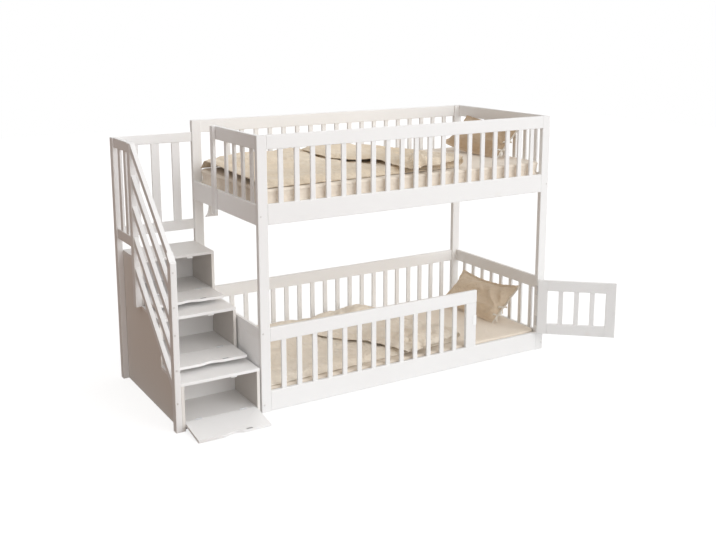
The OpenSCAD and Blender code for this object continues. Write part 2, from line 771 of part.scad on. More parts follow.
// Pillow with a flat flange: a crowned bag whose sides draw in between its corners.
// Its filling has sunk, so the lower edge is shorter, and one lower corner curls forward.
module pillow_form() {
    function bulge(a, flange) = pow(max(0, 1 - pow(a / (1 - flange), 2)), 0.55);
    function half(a, b) = flange_t / 2
        + (pillow_t - flange_t) / 2 * bulge(a, 2 * flange_w / pillow_w)
        * bulge(b, 2 * flange_w / pillow_l);
    function plan(a, b) = [pillow_w / 2 * a * (1 - 0.13 * (1 - b * b) * a * a),
        pillow_l / 2 * b * (1 - 0.05 * (1 - a * a) * b * b) * (1 - 0.2 * pow((1 - a) / 2, 1.5))];
    function curl(a, b) = pillow_curl * pow((1 + b) / 2, 4) * pow((1 - a) / 2, 2);
    soft_solid(14, 22,
        function(a, b) [plan(a, b).x, plan(a, b).y, curl(a, b) + half(a, b)],
        function(a, b) [plan(a, b).x, plan(a, b).y, curl(a, b) - half(a, b)]);
}

// The pillow stands on its lower edge and leans on the rail of the right end.
module pillow(z) {
    reach = pillow_w / 2 * cos(pillow_lean) + flange_t / 2 * sin(pillow_lean);
    lift = pillow_w / 2 * sin(pillow_lean) + flange_t / 2 * cos(pillow_lean);
    piece(linen)
        translate([bed_l - rail_t - soft_gap - reach, bed_w / 2 + pillow_back,
                z + soft_gap + lift])
            rotate([0, -pillow_lean, 0]) pillow_form();
}

module pillow_upper() pillow(upper_bed_z + mattress_t);
module pillow_lower() pillow(lower_bed_z + mattress_t);

// Everything on the gate is drawn shut, then swung to where it stands open.
module on_gate() {
    translate([gate_pin_x, gate_pin_y, 0]) rotate([0, 0, gate_open])
        translate([-gate_pin_x, -gate_pin_y, 0]) children();
}

gate_x = bed_l - post_w - gate_gap - gate_l;

module gate_frame() {
    piece(paint) on_gate() translate([gate_x, gate_front, gate_z]) {
        for (x = [0, gate_l - gate_stile_w]) translate([x, 0, 0])
            board_z(gate_h, gate_stile_w, rail_t);
        for (z = [0, gate_h - gate_rail_h]) translate([gate_stile_w, 0, z])
            board_x(gate_l - 2 * gate_stile_w, rail_t, gate_rail_h);
    }
}

module gate_slats() {
    piece(paint) on_gate()
        translate([gate_x + gate_stile_w, gate_front + slat_in, gate_z + gate_rail_h])
            slat_row_x(gate_l - 2 * gate_stile_w, gate_slat_count, slat_w, slat_t,
                gate_h - 2 * gate_rail_h);
}

module gate_fittings() {
    piece(steel) on_gate() {
        at_gate_hinges() gate_leaf(inner_span(gate_hinge_l), -1);
        translate([gate_x + 1, gate_front + rail_t, gate_catch_z - gate_strike_h / 2])
            cube([gate_strike_w, strike_t, gate_strike_h]);
    }
}

// A flap is drawn level, free edge to the front, then dropped by its droop about the pin.
module on_flap(k) {
    droop = k == 0 ? low_flap_droop : 0;
    translate([0, flap_pin(k).x, flap_pin(k).y]) rotate([droop, 0, 0])
        translate([0, -flap_pin(k).x, -flap_pin(k).y]) children();
}

module flap(k) {
    steps = 20;
    end = flap_pin(k).x - hinge_half_gap;
    free = end - flap_h;
    wave = [for (i = [0 : steps]) let (x = wave_w * (0.5 - i / steps))
        [flap_mid_x + x, free + wave_depth * (1 + cos(360 * x / wave_w)) / 2]];
    piece(paint) on_flap(k) translate([0, 0, floor_z(k) - flap_t]) linear_extrude(flap_t)
        polygon(concat([[flap_mid_x - flap_l / 2, free], [flap_mid_x - flap_l / 2, end],
            [flap_mid_x + flap_l / 2, end], [flap_mid_x + flap_l / 2, free]], wave));
}

module flap_low() flap(0);
module flap_middle() flap(1);
module flap_top() flap(2);

// Hinge halves on the flap's end, and the steel plate that the magnet grips.
module flap_fittings(k) {
    free = flap_pin(k).x - hinge_half_gap - flap_h;
    piece(steel) on_flap(k) {
        at_flap_hinges(k) flap_leaf(inner_span(flap_hinge_l), -1);
        translate([catch_x - catch_l / 2, free + strike_in - strike_h / 2, floor_z(k)])
            cube([catch_l, strike_h, strike_t]);
    }
}

module flap_low_fittings() flap_fittings(0);
module flap_middle_fittings() flap_fittings(1);
module flap_top_fittings() flap_fittings(2);

post_front_left();
post_front_right();
post_back_left();
post_back_right();
deck_rail_front();
deck_rail_back();
deck_rail_left();
deck_rail_right();
guard_rail_front();
guard_rail_back();
guard_rail_left();
guard_rail_right();
guard_slats_front();
guard_slats_back();
guard_slats_ends();
entrance_post();
slat_ledgers();
cross_slats_upper();
cross_slats_lower();
base_rail_front();
base_rail_back();
base_rail_right();
end_boards_left();
lower_rail_front();
lower_rail_back();
lower_rail_right();
lower_slats_front();
lower_slats_back();
lower_slats_right();
gate_jamb();
stair_post_front();
stair_post_middle();
stair_post_back();
stair_sides();
tread_low();
tread_middle();
tread_top();
box_boards();
stair_guard_rails();
stair_guard_slats();
stair_bars();
hinge_bases();
hinge_pins();
magnet_catches();
mattress_upper();
mattress_lower();
duvet_upper();
duvet_lower();
pillow_upper();
pillow_lower();
gate_frame();
gate_slats();
gate_fittings();
flap_low();
flap_middle();
flap_top();
flap_low_fittings();
flap_middle_fittings();
flap_top_fittings();
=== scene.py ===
"""A white bunk bed with a storage staircase, made up for a night's sleep."""
import json
import math

import bmesh
import bpy
import numpy as np
from mathutils import Matrix, Vector, noise
from mathutils.bvhtree import BVHTree

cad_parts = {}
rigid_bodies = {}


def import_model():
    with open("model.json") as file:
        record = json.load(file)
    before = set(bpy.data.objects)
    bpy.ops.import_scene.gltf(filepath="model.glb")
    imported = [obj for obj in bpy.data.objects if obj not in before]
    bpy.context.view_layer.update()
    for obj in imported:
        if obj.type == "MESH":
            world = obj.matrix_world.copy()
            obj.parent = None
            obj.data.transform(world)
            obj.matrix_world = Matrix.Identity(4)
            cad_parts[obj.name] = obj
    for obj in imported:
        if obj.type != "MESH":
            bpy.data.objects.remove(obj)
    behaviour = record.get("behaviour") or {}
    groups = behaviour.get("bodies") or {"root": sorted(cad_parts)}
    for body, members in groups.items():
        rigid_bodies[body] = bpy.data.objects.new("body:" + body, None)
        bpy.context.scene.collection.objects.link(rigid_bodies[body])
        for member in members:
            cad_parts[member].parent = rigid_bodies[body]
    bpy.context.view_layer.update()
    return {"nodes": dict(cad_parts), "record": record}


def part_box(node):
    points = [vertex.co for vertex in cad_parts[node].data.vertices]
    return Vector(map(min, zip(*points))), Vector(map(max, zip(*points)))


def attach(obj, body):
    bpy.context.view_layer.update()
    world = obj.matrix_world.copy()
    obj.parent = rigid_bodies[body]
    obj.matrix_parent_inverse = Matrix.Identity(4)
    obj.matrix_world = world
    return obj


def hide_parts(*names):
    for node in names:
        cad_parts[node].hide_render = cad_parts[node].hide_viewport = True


for leftover in list(bpy.data.objects):
    bpy.data.objects.remove(leftover)
bpy.context.scene.view_settings.view_transform = "Standard"
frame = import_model()
boards = frame["nodes"]

# The camera stands to the left of the bed, a little above the upper mattress, and looks
# down along it. Its place and lens were worked out from the photograph's straight edges.
camera_place = Vector((-2.1077, -4.4992, 2.138))
camera_yaw, camera_pitch, camera_roll = -31.079, -10.693, -0.082
picture_width, picture_height = 716, 540
focal_pixels = 937.7
axis_row = 200  # the picture's row that the camera's axis meets
camera = bpy.data.objects.new("camera", bpy.data.cameras.new("camera"))
bpy.context.scene.collection.objects.link(camera)
camera.data.sensor_width = 36
camera.data.lens = focal_pixels / picture_width * camera.data.sensor_width
camera.data.shift_y = (axis_row - picture_height / 2) / picture_width
camera.data.clip_end = 60
turn = (Matrix.Rotation(math.radians(camera_yaw), 4, "Z")
        @ Matrix.Rotation(math.radians(90 + camera_pitch), 4, "X")
        @ Matrix.Rotation(math.radians(camera_roll), 4, "Z"))
camera.matrix_world = Matrix.Translation(camera_place) @ turn
bpy.context.scene.camera = camera


class Wire:
    """A shader value in a sum: each operator adds the Math node that it stands for."""

    def __init__(self, finish, socket):
        self.finish, self.socket = finish, socket

    def _math(self, operation, first, second):
        return self.finish.node("Math", {"operation": operation}, {0: first, 1: second})

    def __add__(self, other):
        return self._math("ADD", self, other)

    def __truediv__(self, other):
        return self._math("DIVIDE", self, other)

    def __sub__(self, other):
        return self._math("SUBTRACT", self, other)

    def __rsub__(self, other):
        return self._math("SUBTRACT", other, self)

    def __mul__(self, other):
        return self._math("MULTIPLY", self, other)

    __radd__ = __add__
    __rmul__ = __mul__


class Finish:
    """A material in the making. node() adds a node and gives one of its outputs back."""

    def __init__(self, name, world=False):
        maker = bpy.data.worlds if world else bpy.data.materials
        self.block = maker.new(name)
        self.block.use_nodes = True
        self.tree = self.block.node_tree
        self.shader = self.tree.nodes.get("Principled BSDF") or self.tree.nodes["Background"]

    def node(self, kind, settings=None, sockets=None, out=0):
        made = self.tree.nodes.new("ShaderNode" + kind)
        for key, value in (settings or {}).items():
            if key == "stops":
                ramp = made.color_ramp.elements
                while len(ramp) < len(value):
                    ramp.new(0.5)
                for stop, (place, colour) in zip(ramp, value):
                    stop.position = place
                    stop.color = (*colour, 1)
            else:
                setattr(made, key, value)
        for key, value in (sockets or {}).items():
            self.feed(made.inputs[key], value)
        return Wire(self, made.outputs[out])

    def feed(self, socket, value):
        if isinstance(value, Wire):
            self.tree.links.new(value.socket, socket)
        elif socket.type == "RGBA" and len(value) == 3:
            socket.default_value = (*value, 1)
        else:
            socket.default_value = value

    def set(self, **sockets):
        for key, value in sockets.items():
            self.feed(self.shader.inputs[key.replace("_", " ").title()
                                         .replace("Ior", "IOR")], value)

    def smooth(self, value, low, high):
        return self.node("MapRange", {"interpolation_type": "SMOOTHSTEP"},
                         {"Value": value, "From Min": low, "From Max": high})

    def noise(self, place, scale, detail=2.0, rough=0.5, distort=0.0):
        return self.node("TexNoise", None, {"Vector": place, "Scale": scale, "Detail": detail,
                                            "Roughness": rough, "Distortion": distort})

    def blend(self, share, first, second):
        return self.node("Mix", {"data_type": "RGBA"},
                         {"Factor": share, "A": first, "B": second}, out=2)

    def here(self):
        return self.node("TexCoord", out=3)

    def part(self, place, axis):
        return self.node("SeparateXYZ", None, {0: place}, "xyz".index(axis))

    def stretched(self, place, scale, turn=(0, 0, 0)):
        return self.node("Mapping", None, {"Vector": place, "Scale": scale, "Rotation": turn})

    def relief(self, height, depth, strength=1.0, under=None):
        sockets = {"Height": height, "Distance": depth, "Strength": strength}
        if under is not None:
            sockets["Normal"] = under
        return self.node("Bump", None, sockets)


# The studio is a pale floor under a sky that is brightest in front and dim to the left. A broad
# lamp stands to the right of the camera and above it, and a softer low one reaches under the
# upper bed. Camera rays see the floor and the sky nearly white, shadows apart.
sky = Finish("studio_sky", world=True)
bpy.context.scene.world = sky.block
path_camera, path_glossy, path_clear = [sky.node("LightPath", out=out) for out in (0, 3, 6)]
seen = sky.node("Math", {"operation": "MAXIMUM"}, {
    0: path_camera,
    1: sky.node("Math", {"operation": "MAXIMUM"}, {0: path_glossy, 1: path_clear})})
direction = sky.node("TexCoord")
across, along, above = [sky.part(direction, axis) for axis in "xyz"]
bright_across, bright_front = 0.62, 0.78
front_share = sky.smooth(bright_across * across - bright_front * along, -0.1, 0.95)
top_share = sky.smooth(above, 0.15, 0.95)
left_share = sky.smooth(0 - across, 0.26, 0.88) * (1 - top_share * 0.7)
sky_back, sky_front = (0.43, 0.425, 0.42), (1.53, 1.535, 1.55)
sky_top, sky_left = (0.86, 0.86, 0.86), (0.34, 0.298, 0.27)
sky_light = sky.blend(front_share, sky_back, sky_front)
sky_light = sky.blend(top_share, sky_light, sky_top)
sky_light = sky.blend(left_share, sky_light, sky_left)
sky.set(color=sky.blend(seen, sky_light, (1, 1, 1)))

for name, energy, spread, colour, lamp_side in (
        ("key_lamp", 0.47, 32, (0.975, 0.985, 1.0), (0.4, -0.72, 0.56)),
        ("fill_lamp", 0.28, 50, (0.97, 0.985, 1.0), (0.3, -0.91, 0.28))):
    lamp = bpy.data.objects.new(name, bpy.data.lights.new(name, "SUN"))
    bpy.context.scene.collection.objects.link(lamp)
    lamp.data.energy, lamp.data.angle, lamp.data.color = energy, math.radians(spread), colour
    lamp.rotation_euler = Vector(lamp_side).to_track_quat("Z", "Y").to_euler()

floor_reach, floor_drop = 14, 0.0005
floor_mesh = bpy.data.meshes.new("floor")
floor_mesh.from_pydata([(x * floor_reach, y * floor_reach, -floor_drop)
                        for x, y in ((-1, -1), (1, -1), (1, 1), (-1, 1))], [], [(0, 1, 2, 3)])
floor = bpy.data.objects.new("floor", floor_mesh)
bpy.context.scene.collection.objects.link(floor)
ground = Finish("studio_floor")
# Beyond the staircase the floor is dark and warm, and so is the light that it throws back.
floor_pale, floor_warm = (0.74, 0.74, 0.74), (0.17, 0.06, 0.004)
ground_left = ground.smooth(0 - ground.part(ground.here(), "x"), 0.1, 0.75)
ground.set(base_color=ground.blend(ground_left, floor_pale, floor_warm), roughness=0.9)
lit = ground.node("BsdfDiffuse", None, {"Color": (0.36, 0.355, 0.35)})
glow = ground.node("Emission", None, {"Color": (1, 1, 1), "Strength": 0.77})
ground_seen = ground.node("AddShader", None, {0: lit, 1: glow})
ground_mix = ground.node("MixShader", None, {
    0: ground.node("LightPath"), 1: Wire(ground, ground.shader.outputs[0]), 2: ground_seen})
ground.tree.links.new(ground_mix.socket, ground.tree.nodes["Material Output"].inputs[0])
floor_mesh.materials.append(ground.block)

# Posts, rails and slats are planed pine under two coats of satin white. The grain still shows
# faintly through the paint, along each board, and the long edges are sanded round.
paint_white, paint_shade = (0.888, 0.88, 0.87), (0.862, 0.85, 0.838)
knot_tint = (0.83, 0.795, 0.755)
# Painted shade for the side panels' faces inside the boxes.
box_painted_shade = (0.6, 0.565, 0.53)


def painted_pine(name, along, turn=(0, 0, 0), inside=None, tones=(paint_white, paint_shade)):
    """Painted wood with its grain along one axis, darker between two x values as painted shade."""
    coat = Finish(name)
    place = coat.here()

    def board_scale(across_grain, along_grain):
        scale = [across_grain] * 3
        scale["xyz".index(along)] = along_grain
        return coat.stretched(place, scale, turn)

    fibre = coat.noise(board_scale(95.0, 3.2), 1.0, 4.0, 0.62, 0.35)
    broad = coat.noise(place, 2.3, 2.0)
    knots = coat.node("TexVoronoi", None,
                      {"Vector": board_scale(95.0 / 22, 3.2 * 0.9), "Scale": 1.0})
    knot = 1 - coat.smooth(knots, 0.02, 0.13)
    tone = coat.blend(coat.smooth(broad, 0.35, 0.7) * 0.5 + fibre * 0.25, *tones)
    tone = coat.blend(knot * 0.35, tone, knot_tint)
    if inside:
        off_middle = coat.node("Math", {"operation": "ABSOLUTE"},
                               {0: coat.part(place, "x") - sum(inside) / 2})
        reach = (inside[1] - inside[0]) / 2
        tone = coat.blend(coat.smooth(off_middle, reach + 0.001, reach + 0.003), box_painted_shade, tone)
    orange_peel = coat.noise(place, 420.0, 2.0)
    sanded = coat.relief(coat.smooth(fibre, 0.3, 0.75), 0.0006, 0.22)
    coat.set(base_color=tone, specular_ior_level=0.42,
             roughness=0.4 + 0.12 * coat.noise(place, 38.0, 3.0) + 0.05 * fibre,
             normal=coat.relief(orange_peel, 0.0002, 0.18, sanded))
    return coat.block


pine_by_axis = {axis: painted_pine(f"white_pine_{axis}", axis) for axis in "xyz"}
# The lower bed's back guard and the boards of the left end are a shade whiter than the rest. This
# is painted light, for boards that lie in the upper bed's shade or face the dim left side.
painted_light_coat = ((0.945, 0.942, 0.938), (0.925, 0.92, 0.914))
painted_light_by_axis = {axis: painted_pine(f"painted_light_white_{axis}", axis, tones=painted_light_coat)
                 for axis in "xyz"}
painted_light_boards = ("lower_rail_back", "lower_slats_back", "guard_rail_left", "deck_rail_left",
                "end_boards_left")
dressed_apart = ("stair_sides", "stair_bars", "tread_", "flap_")


def grain_axis(board):
    """The axis that a painted board's grain follows: upright, along the bed or across it."""
    if any(word in board for word in ("post", "slats", "gate")):
        return "z"
    return "x" if board.endswith(("front", "back")) else "y"


def dress(node, material, edge=0.0012):
    """Gives a board its finish, and softens the corners that its easing left sharp."""
    board = boards[node]
    board.data.materials.clear()
    board.data.materials.append(material)
    weld = board.modifiers.new("weld", "WELD")
    weld.merge_threshold = 1e-5
    soften = board.modifiers.new("soften", "BEVEL")
    soften.width = edge
    soften.segments = 2
    soften.limit_method = "ANGLE"
    soften.angle_limit = math.radians(35)


# The boards listed above get the whiter coat of painted light.
for piece in frame["record"]["subparts"]:
    name = piece["node"]
    if piece["material_slot"] == "white_paint" and not name.startswith(dressed_apart):
        dress(name, (painted_light_by_axis if name in painted_light_boards else pine_by_axis)[grain_axis(name)])

# Five bars guard the open side of the steps. They are pine strips that run from the middle post
# down to the newel post, and so does their grain.
bars_rise, bars_run = 0.548, 0.598
slope_angle = math.atan2(bars_rise, bars_run)
dress("stair_bars", painted_pine("white_pine_slope", "y", (-slope_angle, 0, 0)))

# Two stepped side panels of glued pine boards carry the treads and close the boxes. Their white
# paint is darker and warmer than the posts', and darker still inside the boxes: painted shade.
boxes_inside = (-0.477, -0.058)
shaded_side_paint = ((0.835, 0.805, 0.765), (0.81, 0.778, 0.735))
dress("stair_sides", painted_pine("shaded_white_pine_sides", "z", inside=boxes_inside, tones=shaded_side_paint))

# Treads and flaps are smooth white board, lighter than the posts as painted light. The top tread
# is a little duller, and it and the matt boards inside the boxes are darker as painted shade.
lit_board_coat = ((0.93, 0.92, 0.91), (0.91, 0.898, 0.886), 0.4)
shaded_top_coat = ((0.85, 0.835, 0.82), (0.83, 0.815, 0.8), 0.35)
box_shade_coat = ((0.84, 0.825, 0.81), (0.81, 0.795, 0.78), 0.25)


def white_board(name, light, dark, gloss):
    """Board under a sprayed coat of white: even, with a very fine orange peel."""
    coat = Finish(name)
    place = coat.here()
    cloud = coat.noise(place, 5.0, 3.0)
    coat.set(base_color=coat.blend(cloud, light, dark), specular_ior_level=0.45,
             roughness=0.8 - gloss + 0.1 * coat.noise(place, 60.0, 2.0),
             normal=coat.relief(coat.noise(place, 350.0, 2.0), 0.0002, 0.2))
    return coat.block


for name, coat, names in (
        ("white_board", lit_board_coat, ("tread_low", "tread_middle", "flap_low", "flap_middle",
                                     "flap_top")),
        ("trodden_board", shaded_top_coat, ("tread_top",)),
        ("inside_board", box_shade_coat, ("box_boards",))):
    sprayed = white_board(name, *coat)
    for board in names:
        dress(board, sprayed, 0.001)

# Ledgers are screwed inside the long rails, and the cross slats that carry each mattress lie on
# them. They are bare planed pine, with growth rings along each slat.
pine = Finish("bare_pine")
pine_place = pine.here()
pine_warp = pine.noise(pine.stretched(pine_place, (9, 1.1, 9)), 1.0, 3.0)
pine_rings = pine.node("TexWave", None, {
    "Vector": pine.stretched(pine_place, (1, 0.06, 1)), "Scale": 26.0, "Distortion": 7.0,
    "Detail": 3.0, "Detail Scale": 0.8})
pine_fibre = pine.noise(pine.stretched(pine_place, (260, 5, 260)), 1.0, 3.0)
ring_tones = [(0.0, (0.62, 0.42, 0.24)), (0.35, (0.74, 0.56, 0.35)), (1.0, (0.82, 0.67, 0.46))]
pine_tone = pine.node("ValToRGB", {"stops": ring_tones}, {0: pine_rings})
pine.set(base_color=pine.blend(pine_fibre * 0.35 + pine_warp * 0.2, pine_tone, (0.7, 0.5, 0.3)),
         roughness=0.55 + 0.15 * pine_fibre, specular_ior_level=0.35,
         normal=pine.relief(pine_fibre, 0.0004, 0.3))
for name in ("slat_ledgers", "cross_slats_upper", "cross_slats_lower"):
    dress(name, pine.block)

# Hinges, pins and strike plates are zinc-plated steel. The gate's strike plate shows when the
# gate stands open, so it is lacquered white.
zinc_dull, zinc_bright, lacquer_white = (0.62, 0.63, 0.65), (0.74, 0.74, 0.75), (0.88, 0.87, 0.86)


def zinc_plate(name, white_from=None):
    """Bright zinc. Beyond an x value, where one is given, it lies under white lacquer."""
    zinc = Finish(name)
    place = zinc.here()
    cloud = zinc.noise(place, 120.0, 4.0, 0.6, 0.6)
    tone = zinc.blend(cloud, zinc_dull, zinc_bright)
    bare = 1.0
    if white_from:
        lacquer = zinc.smooth(zinc.part(place, "x"), white_from, white_from + 0.01)
        tone = zinc.blend(lacquer, tone, lacquer_white)
        bare = 1 - lacquer
    zinc.set(base_color=tone, metallic=bare, roughness=0.26 + 0.2 * cloud,
             normal=zinc.relief(cloud, 0.0001, 0.15))
    return zinc.block


gate_middle_x = sum(corner[0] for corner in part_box("gate_fittings")) / 2
plated = dict.fromkeys(("hinge_bases", "hinge_pins", "flap_low_fittings",
                        "flap_middle_fittings", "flap_top_fittings"), zinc_plate("zinc_plate"))
plated["gate_fittings"] = zinc_plate("gate_zinc", gate_middle_x)
for name, zinc in plated.items():
    boards[name].data.materials.clear()
    boards[name].data.materials.append(zinc)

# The frame is held by steel bolts with low round heads and a hexagon socket. They go through
# the posts into barrel nuts in the rails' ends, and are driven home with a key.
bolt_metal = Finish("bolt_metal")
bolt_cloud = bolt_metal.noise(bolt_metal.here(), 300.0, 3.0)
bolt_metal.set(base_color=bolt_metal.blend(bolt_cloud, (0.74, 0.72, 0.7), (0.82, 0.8, 0.78)),
               metallic=1.0, roughness=0.32 + 0.15 * bolt_cloud,
               normal=bolt_metal.relief(bolt_cloud, 0.0001, 0.12))
bolt_radius, bolt_proud, bolt_clear = 0.0058, 0.0018, 0.0002


def finish_piece(name, points, faces, material, body="root"):
    """Makes a mesh object of points and faces, with its finish, and lets it ride on a body."""
    mesh = bpy.data.meshes.new(name)
    mesh.from_pydata([tuple(p) for p in np.reshape(points, (-1, 3))], [],
                     [tuple(f) for f in faces])
    mesh.update()
    mesh.shade_smooth()
    made = bpy.data.objects.new(name, mesh)
    bpy.context.scene.collection.objects.link(made)
    mesh.materials.append(material)
    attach(made, body)
    return made


def numbered(rows, columns, start=0):
    """The numbers of a grid's points, row by row."""
    return np.arange(start, start + rows * columns).reshape(rows, columns)


def grid_quads(index, flip=False):
    """The faces between the points that a grid of numbers names."""
    corners = [index[:-1, :-1], index[:-1, 1:], index[1:, 1:], index[1:, :-1]]
    return np.stack(corners[::-1] if flip else corners, -1).reshape(-1, 4).tolist()


def tube_quads(index):
    """The faces of a grid whose rows are closed rings."""
    return grid_quads(np.pad(index, ((0, 0), (0, 1)), "wrap"))


def screw_heads(name, places, outward, radius, proud, material, body="root"):
    """One mesh of round heads with hexagon sockets, each standing on a face."""
    outward, side = np.array(outward), np.array(Vector(outward).orthogonal().normalized())
    round_steps = 24
    turn = np.linspace(0, 2 * math.pi, round_steps, endpoint=False)[:, None]
    around = np.cos(turn) * side + np.sin(turn) * np.cross(outward, side)
    hexagon = math.cos(math.pi / 6) / np.cos(turn % (math.pi / 3) - math.pi / 6)
    socket = radius * 0.42
    # Shape, radius and height of each ring. The socket's own rings are hexagons.
    rings = [(1, radius * 0.93, 0), (1, radius, 0.25 * proud), (1, radius * 0.97, 0.6 * proud),
             (1, radius * 0.84, 0.88 * proud), (1, radius * 0.6, proud),
             (hexagon, socket, proud * 0.97), (hexagon, socket * 0.96, proud * 0.2)]
    head = np.array([around * shape * reach + outward * height
                     for shape, reach, height in rings])
    points, faces = [], []
    for number, place in enumerate(places):
        points.append(head + np.array(place))
        index = numbered(len(rings), round_steps, number * len(rings) * round_steps)
        faces += tube_quads(index) + [index[0, ::-1], index[-1]]
    heads = finish_piece(name, points, faces, material, body)
    heads.data.set_sharp_from_angle(angle=math.radians(35))


low_bolt, side_bolt, deck_bolt = 0.045, 0.46, 1.117
left_post_x, right_post_x, stair_post_x = -0.014, 2.016, -0.516
stair_bolt_heights = (0.164, 0.348, 0.541, 0.692, 0.878)
for name, post, outward, spots in (
        ("post_bolts_front", "post_front_left", -1,
         [(left_post_x, z) for z in (low_bolt, side_bolt, deck_bolt)]
         + [(right_post_x, z) for z in (low_bolt, deck_bolt)]),
        ("post_bolts_back", "post_back_left", 1,
         [(x, z) for x in (left_post_x, right_post_x) for z in (low_bolt, side_bolt, deck_bolt)]),
        ("stair_bolts", "stair_post_front", -1,
         [(stair_post_x, z) for z in stair_bolt_heights])):
    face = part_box(post)[0 if outward < 0 else 1][1] + outward * bolt_clear
    screw_heads(name, [(x, face, z) for x, z in spots], (0, outward, 0), bolt_radius, bolt_proud,
                bolt_metal.block)

# Three flush screws hold each leaf of the gate's two butt hinges. One leaf is on the post, and the
# other turns with the gate.
gate_joint = next(joint for joint in frame["record"]["behaviour"]["joints"]
                  if joint["name"] == "gate_hinge")
gate_pin = Vector((*gate_joint["pos_m"][:2], 0))
gate_open = Matrix.Rotation(math.radians(-gate_joint["range_deg"][0]), 3, "Z")
gate_low, gate_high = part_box("gate_frame")
hinge_length, hinge_inset = 0.064, 0.046
leaf_face, leaf_middle = 0.0004, 0.0135
screw_radius, screw_proud = 0.0032, 0.00025
screw_spots = ((0.0032, 0.011), (-0.0032, 0.032), (0.0032, 0.053))
for name, side, turned, body in (("hinge_screws_post", 1, Matrix.Identity(3), "root"),
                                 ("hinge_screws_gate", -1, gate_open, "gate")):
    places = [gate_pin + turned @ Vector((side * leaf_face, leaf_middle + aside, 0))
              + Vector((0, 0, start + up))
              for start in (gate_low[2] + hinge_inset, gate_high[2] - hinge_inset - hinge_length)
              for aside, up in screw_spots]
    screw_heads(name, places, turned @ Vector((-side, 0, 0)), screw_radius, screw_proud,
                bolt_metal.block, body)

# A magnetic catch hangs under each tread, and one is let into the edge of the gate's jamb board.
# Their cases are moulded white plastic.
plastic = Finish("catch_plastic")
plastic.set(base_color=(0.95, 0.95, 0.945), specular_ior_level=0.5,
            roughness=0.3 + 0.1 * plastic.noise(plastic.here(), 90.0),
            normal=plastic.relief(plastic.noise(plastic.here(), 900.0), 0.0001, 0.15))
dress("magnet_catches", plastic.block, 0.0015)

# Each mattress is a foam block in a beige fitted sheet. The sheet is drawn tight over the top,
# with a seam round each edge, and the elastic hem puckers its sides.
mattress_length, mattress_width, mattress_depth = 2.0, 0.9, 0.1
mattress_front, mattress_left = 0.015, 0.0
beds = {"lower": 0.032, "upper": 1.16}


def cotton(name, tint, shade, crease):
    """Soft cotton: a fine plain weave, long creases and a slightly uneven dye."""
    cloth = Finish(name)
    place = cloth.here()
    weft, warp, rise = [
        cloth.node("TexWave", {"bands_direction": axis},
                   {"Vector": place, "Scale": 620.0, "Distortion": 1.2, "Detail": 1.0})
        for axis in "XYZ"]
    weave = (weft + warp + rise) / 3
    slub = cloth.noise(cloth.stretched(place, (30, 160, 160)), 1.0, 3.0)
    cloud = cloth.noise(place, 3.1, 3.0, 0.55)
    tone = cloth.blend(cloth.smooth(cloud, 0.3, 0.72), tint, shade)
    long_folds = cloth.noise(place, 11.0, 4.0, 0.6, 0.9)
    fine_folds = cloth.noise(place, 46.0, 3.0, 0.55, 0.5)
    pressed = cloth.relief(cloth.smooth(long_folds, 0.3, 0.7), crease * 3.2, 0.8)
    pressed = cloth.relief(fine_folds, crease, 0.7, pressed)
    thread_shade = [v * 0.9 for v in shade]
    cloth.set(base_color=cloth.blend(slub * 0.3 + weave * 0.12, tone, thread_shade),
              roughness=0.78 + 0.12 * slub, specular_ior_level=0.25, sheen_weight=0.25,
              sheen_roughness=0.45, normal=cloth.relief(weave, 0.00035, 0.4, pressed))
    return cloth.block


sheet_cotton = cotton("sheet_cotton", (0.895, 0.808, 0.695), (0.865, 0.765, 0.645), 0.001)


def sew(mesh, reach=0.0):
    """Joins the points that lie within reach of each other, and turns every face outward."""
    shell = bmesh.new()
    shell.from_mesh(mesh)
    if reach:
        bmesh.ops.remove_doubles(shell, verts=shell.verts, dist=reach)
    bmesh.ops.recalc_face_normals(shell, faces=shell.faces)
    shell.to_mesh(mesh)
    shell.free()
    mesh.shade_smooth()


def wander(points, scale, seed):
    """Smooth noise from -1 to 1 at each point, the same in every run."""
    shift = Vector((seed * 7.3, seed * 3.1, seed * 5.7))
    flat = points.reshape(-1, 3)
    values = [noise.noise(Vector(p) * scale + shift) for p in flat]
    return np.array(values).reshape(points.shape[:-1])


def unit(vectors):
    """The vectors, each at length 1."""
    return vectors / (np.linalg.norm(vectors, axis=-1, keepdims=True) + 1e-12)


def bell(value, middle, half_width):
    """A smooth swell of height 1 round a middle value."""
    return np.exp(-((value - middle) / half_width) ** 2)


